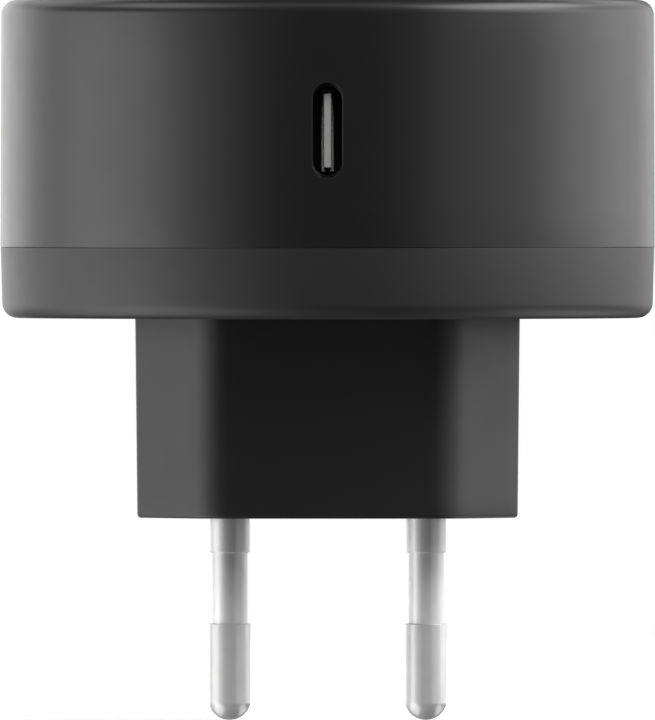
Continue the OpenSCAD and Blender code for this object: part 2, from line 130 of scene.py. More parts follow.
def make_floor():
    """A round pale floor just under the pins."""
    bm = bmesh.new()
    bmesh.ops.create_circle(bm, cap_ends=True, segments=96, radius=FLOOR_RADIUS)
    mesh = bpy.data.meshes.new("floor")
    bm.to_mesh(mesh)
    bm.free()
    floor = bpy.data.objects.new("floor", mesh)
    floor.location = (0, 0, pin_low.z - FLOOR_GAP)
    bpy.context.scene.collection.objects.link(floor)
    material = bpy.data.materials.new("floor_white")
    material.use_nodes = True
    shader = material.node_tree.nodes["Principled BSDF"]
    shader.inputs["Base Color"].default_value = (0.92, 0.92, 0.92, 1)
    shader.inputs["Roughness"].default_value = 0.9
    mesh.materials.append(material)
    floor.visible_glossy = False
    floor.visible_diffuse = False
    floor.visible_shadow = False


# The studio's soft boxes, as azimuth and elevation of the middle in degrees, width and height in
# degrees as the object sees them, and brightness. Azimuth 0 is the port's side and 90 is +X.
SOFT_BOXES = {
    "left_under": (-92, -50, 66, 32, 2.5),
    "left_low": (-80, -14, 44, 50, 3.1),
    "left_front": (-46, -4, 26, 40, 0.8),
    "left_side": (-112, -4, 26, 40, 1.2),
    "left_high": (-80, 50, 40, 26, 3.4),
    "back_left": (-152, 2, 50, 34, 2.3),
    "back_left_high": (-145, 34, 40, 20, 1.5),
    "back_right": (150, 2, 32, 26, 1.5),
    "back_right_high": (150, 28, 36, 18, 1.8),
    "right_under": (114, -40, 60, 26, 2.1),
    "right_low": (107, 8, 50, 26, 2.75),
    "right_front": (58, 2, 44, 34, 0.7),
    "right_middle": (76, 26, 40, 18, 4.2),
    "right_high": (86, 46, 56, 24, 7.0),
    "ceiling": (5, 66, 40, 14, 1.2),
}
BOX_DISTANCE = 2.0
FILL_DISTANCE = 0.6
FILL_ELEVATION = 32
FILL_SIZE = 0.34
FILL_POWER = 2.4


def make_soft_box(name, azimuth, elevation, width, height, brightness):
    """A flat rectangular lamp of even brightness that faces the middle of the object."""
    data = bpy.data.lights.new(name, "AREA")
    data.shape = "RECTANGLE"
    data.size = 2 * BOX_DISTANCE * math.tan(math.radians(width / 2))
    data.size_y = 2 * BOX_DISTANCE * math.tan(math.radians(height / 2))
    data.energy = brightness * math.pi * data.size * data.size_y
    box = bpy.data.objects.new(name, data)
    a, e = math.radians(azimuth), math.radians(elevation)
    away = Vector((math.sin(a) * math.cos(e), -math.cos(a) * math.cos(e), math.sin(e)))
    box.location = Vector((0, 0, centre_z)) + away * BOX_DISTANCE
    box.rotation_euler = away.to_track_quat("Z", "Y").to_euler()
    box.visible_camera = False
    bpy.context.scene.collection.objects.link(box)


def make_studio():
    """Soft boxes all round, in a room that is plain white behind the object and dim elsewhere."""
    for name, values in SOFT_BOXES.items():
        make_soft_box(name, *values)
    world = bpy.data.worlds.new("studio")
    bpy.context.scene.world = world
    world.use_nodes = True
    tree = world.node_tree
    tree.nodes.clear()
    room, white = (tree.nodes.new("ShaderNodeBackground") for _ in range(2))
    room.inputs["Color"].default_value = (ROOM, ROOM, ROOM, 1)
    white.inputs["Color"].default_value = (1, 1, 1, 1)
    mix = tree.nodes.new("ShaderNodeMixShader")
    tree.links.new(tree.nodes.new("ShaderNodeLightPath").outputs["Is Camera Ray"], mix.inputs[0])
    tree.links.new(room.outputs[0], mix.inputs[1])
    tree.links.new(white.outputs[0], mix.inputs[2])
    tree.links.new(mix.outputs[0], tree.nodes.new("ShaderNodeOutputWorld").inputs[0])


def make_fill():
    """A broad light above the front that adds no shine."""
    data = bpy.data.lights.new("fill", "AREA")
    data.shape = "DISK"
    data.size = FILL_SIZE
    data.energy = FILL_POWER
    fill = bpy.data.objects.new("fill", data)
    rise = math.radians(FILL_ELEVATION)
    fill.location = (0, -FILL_DISTANCE * math.cos(rise), port_z + FILL_DISTANCE * math.sin(rise))
    fill.rotation_euler = (math.radians(90) - rise, 0, 0)
    fill.visible_glossy = False
    fill.visible_camera = False
    bpy.context.scene.collection.objects.link(fill)


bpy.context.scene.view_settings.view_transform = "Standard"
make_camera()
make_floor()
make_studio()
make_fill()


# ---------------------------------------------------------------- materials

class Shader:
    """A material's node tree, with short calls for the nodes that the finishes share."""

    def __init__(self, name, color, metallic, roughness):
        self.material = bpy.data.materials.new(name)
        self.material.use_nodes = True
        self.tree = self.material.node_tree
        self.bsdf = self.tree.nodes["Principled BSDF"]
        self.bsdf.inputs["Base Color"].default_value = (*color, 1)
        self.bsdf.inputs["Metallic"].default_value = metallic
        self.bsdf.inputs["Roughness"].default_value = roughness
        self.coord = self.tree.nodes.new("ShaderNodeTexCoord")

    def link(self, a, b):
        self.tree.links.new(a, b)

    def noise(self, size, detail=3.0, stretch=(1, 1, 1)):
        """Noise whose features are about size metres across."""
        mapping = self.tree.nodes.new("ShaderNodeMapping")
        mapping.inputs["Scale"].default_value = stretch
        self.link(self.coord.outputs["Object"], mapping.inputs["Vector"])
        node = self.tree.nodes.new("ShaderNodeTexNoise")
        node.inputs["Scale"].default_value = 1 / size
        node.inputs["Detail"].default_value = detail
        self.link(mapping.outputs["Vector"], node.inputs["Vector"])
        return node.outputs["Fac"]

    def spread(self, value, low, high, from_low=0.3, from_high=0.7):
        """value stretched to run from low to high."""
        node = self.tree.nodes.new("ShaderNodeMapRange")
        self.link(value, node.inputs["Value"])
        node.inputs["From Min"].default_value = from_low
        node.inputs["From Max"].default_value = from_high
        node.inputs["To Min"].default_value = low
        node.inputs["To Max"].default_value = high
        return node.outputs["Result"]

    def blend(self, factor, a, b):
        """Colour between a and b, which are colours or sockets."""
        node = self.tree.nodes.new("ShaderNodeMix")
        node.data_type = "RGBA"
        self.link(factor, node.inputs[0])
        for socket, value in ((node.inputs[6], a), (node.inputs[7], b)):
            if isinstance(value, tuple):
                socket.default_value = (*value, 1)
            else:
                self.link(value, socket)
        return node.outputs[2]

    def color(self, socket):
        self.link(socket, self.bsdf.inputs["Base Color"])

    def roughness(self, socket):
        self.link(socket, self.bsdf.inputs["Roughness"])

    def bump(self, height, depth):
        """Relief of depth metres from a height of 0 to 1."""
        node = self.tree.nodes.new("ShaderNodeBump")
        node.inputs["Distance"].default_value = depth
        node.inputs["Strength"].default_value = 1
        self.link(height, node.inputs["Height"])
        self.link(node.outputs["Normal"], self.bsdf.inputs["Normal"])

    def edges(self, radius):
        """1 along convex and concave edges, 0 on open faces."""
        bevel = self.tree.nodes.new("ShaderNodeBevel")
        bevel.samples = 4
        bevel.inputs["Radius"].default_value = radius
        geometry = self.tree.nodes.new("ShaderNodeNewGeometry")
        dot = self.tree.nodes.new("ShaderNodeVectorMath")
        dot.operation = "DOT_PRODUCT"
        self.link(bevel.outputs["Normal"], dot.inputs[0])
        self.link(geometry.outputs["Normal"], dot.inputs[1])
        return self.spread(dot.outputs["Value"], 1.0, 0.0, 0.8, 0.99)


def shade(color, factor):
    return tuple(min(1.0, c * factor) for c in color)


def moulded(name, color, roughness):
    """Fine-grained injection moulding: cloudy tone, uneven gloss, eroded grain, and a painted
    highlight that lightens its edges.
    """
    s = Shader(name, color, 0.0, roughness)
    s.bsdf.inputs["IOR"].default_value = 1.5
    cloud = s.noise(14 * MM, 4)
    # Painted highlight: edges and creases are painted up to 35 % of the way towards a colour 1.8
    # times as light.
    painted_edge_highlight = s.edges(0.25 * MM)
    tone = s.blend(cloud, shade(color, 0.88), shade(color, 1.12))
    s.color(s.blend(s.spread(painted_edge_highlight, 0, 0.35, 0, 1), tone, shade(color, 1.8)))
    s.roughness(s.spread(s.noise(3 * MM, 5), roughness - 0.015, roughness + 0.015))
    s.bump(s.noise(0.12 * MM, 2), 0.0015 * MM)
    return s.material


def two_tone_depth_shaded(name, near, far, y):
    """Grain moulding in two colours that meet in a plane across Y; the darker colour deeper in the
    port is also painted shade.
    """
    s = Shader(name, near, 0.0, 0.5)
    split = s.tree.nodes.new("ShaderNodeSeparateXYZ")
    s.link(s.coord.outputs["Object"], split.inputs[0])
    cloud = s.noise(1.2 * MM, 3)
    light = s.blend(cloud, shade(near, 0.94), shade(near, 1.06))
    dark = s.blend(cloud, shade(far, 0.8), shade(far, 1.2))
    # Deeper than y the colour turns dark: a second moulding colour, and painted shade inside the
    # port.
    s.color(s.blend(s.spread(split.outputs["Y"], 0, 1, y - 0.02 * MM, y), light, dark))
    s.roughness(s.spread(s.noise(0.5 * MM), 0.45, 0.55))
    s.bump(s.noise(0.1 * MM, 2), 0.001 * MM)
    return s.material


def glossy(name, color, roughness=0.28):
    """Dipped or moulded gloss part with slight orange peel."""
    s = Shader(name, color, 0.0, roughness)
    s.color(s.blend(s.noise(2 * MM, 4), shade(color, 0.8), shade(color, 1.15)))
    s.roughness(s.spread(s.noise(0.8 * MM), roughness - 0.06, roughness + 0.08))
    s.bump(s.noise(0.5 * MM, 2), 0.006 * MM)
    return s.material


def plated(name, color, roughness, stretch=(1, 1, 20), metal=1.0):
    """Plated or rolled metal with fine tool lines and cloudy gloss."""
    line = 0.06 * MM * max(stretch)
    s = Shader(name, color, metal, roughness)
    s.color(s.blend(s.noise(1.5 * MM, 5), shade(color, 0.9), shade(color, 1.06)))
    s.roughness(s.spread(s.noise(0.6 * MM, 4), roughness, roughness + 0.05))
    s.bump(s.noise(line, 3, stretch), 0.0003 * MM)
    return s.material


def laminate(name, color):
    """Solder mask over glass cloth."""
    s = Shader(name, color, 0.0, 0.35)
    weave = s.noise(0.35 * MM, 2)
    s.color(s.blend(s.noise(5 * MM, 3), shade(color, 0.75), shade(color, 1.3)))
    s.roughness(s.spread(weave, 0.28, 0.42))
    s.bump(weave, 0.006 * MM)
    return s.material


def sintered(name, color):
    """Dull ferrite or rubbery filler with open pores."""
    s = Shader(name, color, 0.0, 0.75)
    s.color(s.blend(s.noise(0.6 * MM, 6), shade(color, 0.6), shade(color, 1.5)))
    s.roughness(s.spread(s.noise(0.4 * MM, 4), 0.65, 0.85))
    s.bump(s.noise(0.12 * MM, 4), 0.01 * MM)
    return s.material


def frosted(name, color):
    """Milky light guide."""
    s = Shader(name, color, 0.0, 0.35)
    s.bsdf.inputs["Subsurface Weight"].default_value = 0.3
    s.bsdf.inputs["Subsurface Radius"].default_value = (1, 1, 1)
    s.bsdf.inputs["Subsurface Scale"].default_value = 0.6 * MM
    s.color(s.blend(s.noise(3 * MM), shade(color, 0.94), shade(color, 1.05)))
    s.roughness(s.spread(s.noise(0.3 * MM), 0.3, 0.42))
    s.bump(s.noise(0.1 * MM, 2), 0.001 * MM)
    return s.material


FINISHES = {
    "front_plastic": lambda n: moulded(n, (0.0052, 0.0052, 0.0052), 0.37),
    "rear_plastic": lambda n: moulded(n, (0.0095, 0.0095, 0.0095), 0.5),
    "base_plastic": lambda n: moulded(n, (0.0057, 0.0057, 0.0057), 0.51),
    "button_plastic": lambda n: moulded(n, (0.006, 0.006, 0.006), 0.33),
    "light_guide": lambda n: frosted(n, (0.72, 0.72, 0.7)),
    "pin_nickel": lambda n: plated(n, (0.47, 0.47, 0.468), 0.29, metal=0.32),
    "sleeve_grey": lambda n: plated(n, (0.57, 0.57, 0.568), 0.3, metal=0.28),
    "ivory_plastic": lambda n: moulded(n, (0.62, 0.57, 0.44), 0.5),
    "screw_steel": lambda n: plated(n, (0.62, 0.62, 0.6), 0.35, stretch=(1, 1, 12)),
    "spring_bronze": lambda n: plated(n, (0.72, 0.46, 0.2), 0.34, stretch=(1, 30, 1)),
    "board_green": lambda n: laminate(n, (0.015, 0.13, 0.05)),
    "board_blue": lambda n: laminate(n, (0.015, 0.04, 0.15)),
    "fuse_brown": lambda n: glossy(n, (0.16, 0.06, 0.03)),
    "epoxy_blue": lambda n: glossy(n, (0.03, 0.1, 0.36)),
    "film_yellow": lambda n: glossy(n, (0.72, 0.48, 0.06)),
    "ferrite": lambda n: sintered(n, (0.05, 0.05, 0.054)),
    "enamel_wire": lambda n: plated(n, (0.5, 0.18, 0.06), 0.34, stretch=(1, 20, 1)),
    "chip_black": lambda n: sintered(n, (0.02, 0.02, 0.022)),
    "sleeved_can": lambda n: glossy(n, (0.02, 0.02, 0.06)),
    "bare_can": lambda n: plated(n, (0.75, 0.76, 0.78), 0.34),
    "winding_tape": lambda n: glossy(n, (0.7, 0.5, 0.05), 0.2),
    "opto_white": lambda n: sintered(n, (0.7, 0.69, 0.62)),
    "barrier_white": lambda n: moulded(n, (0.72, 0.72, 0.7), 0.5),
    "spreader_aluminium": lambda n: plated(n, (0.78, 0.79, 0.8), 0.35, stretch=(20, 1, 1)),
    "pad_pink": lambda n: sintered(n, (0.62, 0.3, 0.3)),
    "socket_steel": lambda n: plated(n, (0.03, 0.03, 0.031), 0.45, stretch=(1, 20, 1)),
    # The socket's moulding is darker beyond the tongue's root, partly as painted shade inside the
    # port.
    "socket_grey": lambda n: two_tone_depth_shaded(n, (0.36, 0.36, 0.36), (0.004, 0.004, 0.004), tongue_root_y),
    "contact_gold": lambda n: plated(n, (0.85, 0.6, 0.2), 0.34, stretch=(1, 20, 1)),
    "black_plastic": lambda n: moulded(n, (0.015, 0.015, 0.016), 0.45),
    "shield_tin": lambda n: plated(n, (0.7, 0.7, 0.68), 0.35, stretch=(1, 16, 1)),
    "led_white": lambda n: frosted(n, (0.75, 0.74, 0.5)),
    "plunger_white": lambda n: glossy(n, (0.7, 0.7, 0.66)),
}
MATERIALS = {name: make(name) for name, make in FINISHES.items()}
SLOT_OF = {part["node"]: part["material_slot"] for part in frame["record"]["subparts"]}


def finish_cad_nodes():
    """Every CAD node that stays in view gets its slot's procedural finish."""
    for name, node in frame["nodes"].items():
        node.data.materials.clear()
        node.data.materials.append(MATERIALS[SLOT_OF[name]])


finish_cad_nodes()


# ---------------------------------------------------------------- mesh tools

COLUMNS = 480
FACE_COLUMNS = 240
PIN_COLUMNS = 128
BOSS_COLUMNS = 48
ROUND_STEP = math.radians(9)


def rounded(points, radii, closed=False):
    """A polyline in the plane with its corners rounded by arcs."""
    count = len(points)
    out = []
    for i, (point, radius) in enumerate(zip(points, radii)):
        corner = Vector(point)
        if radius <= 0 or (not closed and i in (0, count - 1)):
            out.append(corner)
            continue
        back = (Vector(points[i - 1]) - corner).normalized()
        ahead = (Vector(points[(i + 1) % count]) - corner).normalized()
        half = back.angle(ahead) / 2
        centre = corner + (back + ahead).normalized() * radius / math.sin(half)
        start = corner + back * radius / math.tan(half) - centre
        sweep = math.pi - 2 * half
        side = 1 if back.cross(ahead) < 0 else -1
        steps = max(3, round(sweep / ROUND_STEP))
        for k in range(steps + 1):
            a = side * sweep * k / steps
            out.append(centre + Vector((start.x * math.cos(a) - start.y * math.sin(a),
                start.x * math.sin(a) + start.y * math.cos(a))))
    return out


def densify(points, longest):
    """The same polyline with no stretch longer than longest."""
    out = [Vector(points[0])]
    for a, b in zip(points, points[1:]):
        pieces = max(1, math.ceil((Vector(b) - Vector(a)).length / longest))
        out += [Vector(a).lerp(Vector(b), (i + 1) / pieces) for i in range(pieces)]
    return out


def ring(bm, radius, z, columns):
    """A circle of vertices; column 0 is towards -Y, and columns run towards +X."""
    return [bm.verts.new((radius * math.sin(2 * math.pi * i / columns),
        -radius * math.cos(2 * math.pi * i / columns), z)) for i in range(columns)]


def bridge(bm, low, high, skip=()):
    """Quads between two rings with the same number of vertices."""
    count = len(low)
    for i in range(count):
        if i not in skip:
            j = (i + 1) % count
            bm.faces.new((low[i], low[j], high[j], high[i]))


def lathe(bm, profile, columns, closed=False):
    """Turns a profile of (radius, z) points about Z. A radius of zero makes a pole."""
    rings = []
    for radius, z in profile:
        on_axis = radius < 1e-7
        rings.append([bm.verts.new((0, 0, z))] if on_axis else ring(bm, radius, z, columns))
    pairs = list(zip(rings, rings[1:]))
    if closed:
        pairs.append((rings[-1], rings[0]))
    for low, high in pairs:
        if len(low) == 1 and len(high) == 1:
            continue
        if len(low) == 1 or len(high) == 1:
            pole, rim = (low[0], high) if len(low) == 1 else (high[0], low)
            for i in range(columns):
                bm.faces.new((pole, rim[i], rim[(i + 1) % columns]))
        else:
            bridge(bm, low, high)


def publish(name, bm, material, body, *nodes, sharp=35):
    """Makes a bmesh a piece that rides on a body and stands for CAD nodes.

    Edges that turn by more than sharp degrees stay crisp.
    """
    bmesh.ops.remove_doubles(bm, verts=bm.verts, dist=1e-8)
    bmesh.ops.recalc_face_normals(bm, faces=bm.faces)
    for face in bm.faces:
        face.smooth = True
    for edge in bm.edges:
        if len(edge.link_faces) == 2 and edge.calc_face_angle(0) > math.radians(sharp):
            edge.smooth = False
    mesh = bpy.data.meshes.new(name)
    bm.to_mesh(mesh)
    bm.free()
    mesh.materials.append(MATERIALS[material])
    piece = bpy.data.objects.new(name, mesh)
    bpy.context.scene.collection.objects.link(piece)
    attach(piece, body)
    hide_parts(*nodes)


# ---------------------------------------------------------------- front shell

PATCH_COLUMNS = 10      # columns on each side of the port that its patch takes
PATCH_ROWS = 28
PATCH_HALF = 7 * MM
PORT_L = 8.9 * MM
PORT_T = 2.84 * MM
PORT_EDGE = 0.06 * MM
POCKET_L = 9.14 * MM
POCKET_T = 3.36 * MM
LOOPS = 7
LOOP_CROWDING = 1.6
EDGE_STEPS = 6
FACE_STEP = 3 * MM


def stadium(length, thickness, count):
    """Points round an upright slot from its lower right shoulder, half of them on its two ends."""
    r = thickness / 2
    half = length / 2 - r
    quarter = count // 4
    points = []
    for i in range(quarter):
        points.append((r, -half + 2 * half * i / quarter))
    for i in range(quarter):
        a = math.pi * i / quarter
        points.append((r * math.cos(a), half + r * math.sin(a)))
    for i in range(quarter):
        points.append((-r, half - 2 * half * i / quarter))
    for i in range(quarter):
        a = math.pi + math.pi * i / quarter
        points.append((r * math.cos(a), -half + r * math.sin(a)))
    return points


def patch_border(rings):
    """The grid vertices round the port's patch, from its lower right corner, anticlockwise."""
    c = PATCH_COLUMNS
    right = [rings[i][c] for i in range(PATCH_ROWS)]
    top = [rings[PATCH_ROWS][i % COLUMNS] for i in range(c, -c, -1)]
    left = [rings[i][-c] for i in range(PATCH_ROWS, 0, -1)]
    bottom = [rings[0][i % COLUMNS] for i in range(-c, c)]
    return right + top + left + bottom


def matching_slot(length, thickness):
    """Slot outline with as many points as the patch border, turned so that the two match."""
    count = 2 * PATCH_ROWS + 4 * PATCH_COLUMNS
    points = stadium(length, thickness, count)
    shift = PATCH_ROWS // 2 - count // 8
    return [points[(i - shift) % count] for i in range(count)]


def outer_r(z):
    """Radius of the drum's drafted outside."""
    return drum_r - FRONT_DRAFT * (z - split_z) / (face_z - split_z)


def wall_y(x, z, outside):
    """Y of the wall at a place on the port's side."""
    radius = outer_r(z) if outside else cavity_r
    return -math.sqrt(radius * radius - x * x)


def port_patch(bm, border, length, thickness, outside):
    """Fills the patch between the grid's border and a slot outline that lies on the wall."""
    outline = matching_slot(length, thickness)
    loops = [border]
    for k in range(1, LOOPS + 1):
        t = 1 - (1 - k / LOOPS) ** LOOP_CROWDING
        loop = []
        for vertex, (sx, sz) in zip(border, outline):
            x = vertex.co.x * (1 - t) + sx * t
            z = vertex.co.z * (1 - t) + (port_z + sz) * t
            loop.append(bm.verts.new((x, wall_y(x, z, outside), z)))
        bridge(bm, loops[-1], loop)
        loops.append(loop)
    return loops[-1]


def front_shell():
    """The deep shell: face with the button's hole, rounded rim, wall with the port, open cavity."""
    outer = rounded([(hole_r, face_z), (drum_r - FRONT_DRAFT, face_z), (drum_r, split_z),
        (cavity_r + LIP_T, split_z)], [0, FRONT_EDGE, SHARP, 0])
    rows = [port_z - PATCH_HALF + 2 * PATCH_HALF * i / PATCH_ROWS for i in range(PATCH_ROWS + 1)]
    wall = [Vector((outer_r(z), z)) for z in reversed(rows)]
    upper = [p for p in outer if p.y > rows[-1] + 1e-6]
    lower = [p for p in outer if p.y < rows[0] - 1e-6]
    face = densify(upper[:2], FACE_STEP) + upper[2:]
    outside = [(p.x, p.y) for p in face + wall + lower[:-1]]
    recess_z = split_z + LIP_H + RECESS_GAP
    recess = [(cavity_r + LIP_T, split_z), (cavity_r + LIP_T, recess_z), (cavity_r, recess_z)]
    profile = outside + recess + [(cavity_r, z) for z in rows]
    profile += [(cavity_r, ceiling_z), (hole_r, ceiling_z)]
    bm = bmesh.new()
    rings = [ring(bm, r, z, COLUMNS) for r, z in profile]
    hidden = {i % COLUMNS for i in range(-PATCH_COLUMNS, PATCH_COLUMNS)}
    outer_top = len(face)
    inner_low = len(outside) + len(recess)
    for i, low in enumerate(rings):
        high = rings[(i + 1) % len(rings)]
        in_outer = outer_top <= i < outer_top + PATCH_ROWS
        in_inner = inner_low <= i < inner_low + PATCH_ROWS
        bridge(bm, low, high, hidden if in_outer or in_inner else ())
    outer_rings = rings[outer_top:outer_top + PATCH_ROWS + 1][::-1]
    inner_rings = rings[inner_low:inner_low + PATCH_ROWS + 1]
    loop = port_patch(bm, patch_border(outer_rings), PORT_L + 2 * PORT_EDGE,
        PORT_T + 2 * PORT_EDGE, True)
    for k in range(1, EDGE_STEPS + 1):
        a = math.radians(90 * k / EDGE_STEPS)
        grow = PORT_EDGE * (1 - math.sin(a))
        sink = PORT_EDGE * (1 - math.cos(a))
        outline = matching_slot(PORT_L + 2 * grow, PORT_T + 2 * grow)
        step = [bm.verts.new((x, wall_y(x, port_z + z, True) + sink, port_z + z))
            for x, z in outline]
        bridge(bm, loop, step)
        loop = step
    for length, thickness in ((PORT_L, PORT_T), (POCKET_L, POCKET_T)):
        outline = matching_slot(length, thickness)
        step = [bm.verts.new((x, mouth_y, port_z + z)) for x, z in outline]
        bridge(bm, loop, step)
        loop = step
    inner_loop = port_patch(bm, patch_border(inner_rings), POCKET_L, POCKET_T, False)
    bridge(bm, loop, inner_loop)
    publish("front_shell_moulding", bm, "front_plastic", HOUSING, "front_shell")


# Groups of bosses: distance from the middle, their angles, radius, radius and depth of the screw
# hole, and the height where they end
BOSS_GROUPS = (
    (SCREW_RING, (45, 135, 225, 315), 3 * MM, 1.1 * MM, 10.7 * MM, front_low.z),
    (24 * MM, (90, 195, 345), 2.4 * MM, 0.8 * MM, 7 * MM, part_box("power_board")[1].z),
    (20 * MM, (30, 150, 270), 2 * MM, 0.8 * MM, 3 * MM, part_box("logic_board")[1].z),
)


def bosses():
    """Screw bosses, posts and studs that stand under the front face."""
    bm = bmesh.new()
    for distance, angles, radius, bore, depth, low in BOSS_GROUPS:
        for angle in angles:
            a = math.radians(angle)
            start = len(bm.verts)
            profile = rounded([(0, low + depth), (bore, low + depth), (bore, low), (radius, low),
                (radius, ceiling_z), (0, ceiling_z)], [0, 0, 0.1 * MM, 0.15 * MM, 0, 0])
            lathe(bm, [(p.x, p.y) for p in profile], BOSS_COLUMNS)
            bm.verts.ensure_lookup_table()
            move = Vector((distance * math.cos(a), distance * math.sin(a), 0))
            bmesh.ops.translate(bm, verts=bm.verts[start:], vec=move)
    publish("front_shell_bosses", bm, "front_plastic", HOUSING, "front_shell")


# ---------------------------------------------------------------- rear shell and plug base

FLANGE_R = 27.6 * MM
END_WALL = 2.5 * MM
BASE_ROWS = 12
BASE_DRAFT = 0.2 * MM
END_EDGE = 0.35 * MM
END_STEPS = 5
GROOVE_HALF = 2.6 * MM
GROOVE_DEPTH = 2.2 * MM
BASE_HALF_W = 18.2 * MM
BASE_HALF_T = 13.0 * MM
SIDE_HALF = 4.3 * MM
FACET = math.radians(53)
SIDE_ROUND = 1 * MM
PLAIN_ROUND = 4.4 * MM
FLOOR_ROUND = 0.35 * MM
MOUTH_ROUND = 0.3 * MM
PLAN_STEP = 1.5 * MM
HOLLOW_CORNERS = [(13.8 * MM, 5.6 * MM), (9.4 * MM, 11.2 * MM)]
HOLLOW_ROUND = 0.8 * MM
REAR_OPENING_GAP = 0.1 * MM
REAR_DISC_R = 22 * MM       # start of the rear shell's floor, inside the opening that is cut in it
POST_R = 2.4 * MM
POST_H = 1.2 * MM
PILOT_R = 0.8 * MM
PILOT_LOW = 1 * MM
PILOT_HIGH = 11 * MM
PIN_HOLE_GAP = 0.01 * MM
FLOOR_FILLET = 0.5 * MM


def base_corners(inset):
    """The two corners of the plug base's plan in its first quarter, with its sides moved in."""
    half_w, half_t = BASE_HALF_W - inset, BASE_HALF_T - inset
    normal = Vector((math.sin(FACET), math.cos(FACET)))
    reach = normal.dot(Vector((BASE_HALF_W, SIDE_HALF))) - inset
    side = Vector((half_w, (reach - normal.x * half_w) / normal.y))
    plain = Vector(((reach - normal.y * half_t) / normal.x, half_t))
    return side, plain


def mirrored(quarter):
    """Closed outline from its first quarter, with both axes as mirrors."""
    points = quarter + [(-x, y) for x, y in reversed(quarter)]
    return points + [(-x, -y) for x, y in quarter] + [(x, -y) for x, y in reversed(quarter)]


def base_plan(inset, grooved):
    """Closed plan of the plug base with rounded corners, anticlockwise from its +X side."""
    side, plain = base_corners(inset)
    quarter = [(side.x, side.y), (plain.x, plain.y)]
    radii = [SIDE_ROUND - inset, PLAIN_ROUND - inset]
    if grooved:
        floor_x = BASE_HALF_W - GROOVE_DEPTH
        quarter = [(floor_x, GROOVE_HALF), (side.x, GROOVE_HALF)] + quarter
        radii = [FLOOR_ROUND, MOUTH_ROUND] + radii
    sizes = radii + radii[::-1] + radii + radii[::-1]
    return rounded(mirrored(quarter), sizes, closed=True)


def base_outline(inset, grooved):
    """The plan with its long stretches divided, into as many points for every inset."""
    widest, moved = base_plan(0, grooved), base_plan(inset, grooved)
    out = []
    for i, p in enumerate(moved):
        j = (i + 1) % len(moved)
        pieces = max(1, math.ceil((widest[j] - widest[i]).length / PLAN_STEP))
        out += [p.lerp(moved[j], k / pieces) for k in range(pieces)]
    return out


def plan_ring(bm, outline, z):
    return [bm.verts.new((p.x, p.y, z)) for p in outline]


def base_hollow():
    """Plan of the hollow inside the plug base."""
    points = mirrored(HOLLOW_CORNERS)
    return rounded(points, [HOLLOW_ROUND] * len(points), closed=True)


def solid_plan(bm, outline, low, high):
    """A prism from a plan outline."""
    bottom, top = plan_ring(bm, outline, low), plan_ring(bm, outline, high)
    bridge(bm, bottom, top)
    bm.faces.new(bottom)
    bm.faces.new(top)


def solid_round(bm, x, y, radius, low, high, sides=96):
    """An upright cylinder."""
    outline = [Vector((x + radius * math.cos(2 * math.pi * i / sides),
        y + radius * math.sin(2 * math.pi * i / sides))) for i in range(sides)]
    solid_plan(bm, outline, low, high)


def carve(bm, fill, operation="DIFFERENCE"):
    """Applies an exact boolean to a bmesh, with a tool that fill() builds, and returns the result."""
    tool_bm = bmesh.new()
    fill(tool_bm)
    parts = []
    for name, source in (("carve_body", bm), ("carve_tool", tool_bm)):
        bmesh.ops.recalc_face_normals(source, faces=source.faces)
        mesh = bpy.data.meshes.new(name)
        source.to_mesh(mesh)
        source.free()
        part = bpy.data.objects.new(name, mesh)
        bpy.context.scene.collection.objects.link(part)
        parts.append(part)
    body, tool = parts
    boolean = body.modifiers.new("carve", "BOOLEAN")
    boolean.operation = operation
    boolean.solver = "EXACT"
    boolean.object = tool
    graph = bpy.context.evaluated_depsgraph_get()
    result = bmesh.new()
    result.from_mesh(body.evaluated_get(graph).to_mesh())
    for part in parts:
        mesh = part.data
        bpy.data.objects.remove(part)
        bpy.data.meshes.remove(mesh)
    return result


def rear_shell():
    """The shallow shell on the wall side, with the plug base's opening and four screw wells."""
    lip_r = cavity_r + LIP_T - LIP_GAP
    lip_z = split_z + LIP_H
    inside_z = wall_z + FLOOR_T
    outer = rounded([(REAR_DISC_R, wall_z), (rear_r - REAR_DRAFT, wall_z), (rear_r, split_z),
        (lip_r, split_z), (lip_r, lip_z), (cavity_r, lip_z), (cavity_r, inside_z),
        (REAR_DISC_R, inside_z)], [0, REAR_EDGE, SHARP, 0, LIP_ROUND, LIP_ROUND, FLOOR_FILLET, 0])
    bm = bmesh.new()
    rings = [ring(bm, p.x, p.y, COLUMNS) for p in outer]
    for low, high in zip(rings, rings[1:]):
        bridge(bm, low, high)
    bm.faces.new(rings[0])
    bm.faces.new(rings[-1])

    def wells(tool):
        solid_plan(tool, base_outline(-REAR_OPENING_GAP, False), wall_z - MM, inside_z + MM)
        for x, y in SCREW_PLACES:
            solid_round(tool, x, y, SCREW_HEAD_R, wall_z - MM, wall_z + SCREW_WELL)

    bm = carve(bm, wells)

    def holes(tool):
        for x, y in SCREW_PLACES:
            solid_round(tool, x, y, SCREW_CLEAR_R, wall_z, inside_z + MM)

    bm = carve(bm, holes)
    publish("rear_shell_moulding", bm, "rear_plastic", HOUSING, "rear_shell")


def polar_on(outline, angle):
    """Where a ray from the centre at an angle meets a closed plan outline."""
    ray = Vector((math.cos(angle), math.sin(angle)))
    best = 0
    for a, b in zip(outline, outline[1:] + outline[:1]):
        edge = b - a
        across = ray.cross(edge)
        if abs(across) > 1e-12:
            along = a.cross(edge) / across
            share = a.cross(ray) / across
            if along > 0 and -1e-6 <= share <= 1 + 1e-6:
                best = max(best, along)
    return ray * best


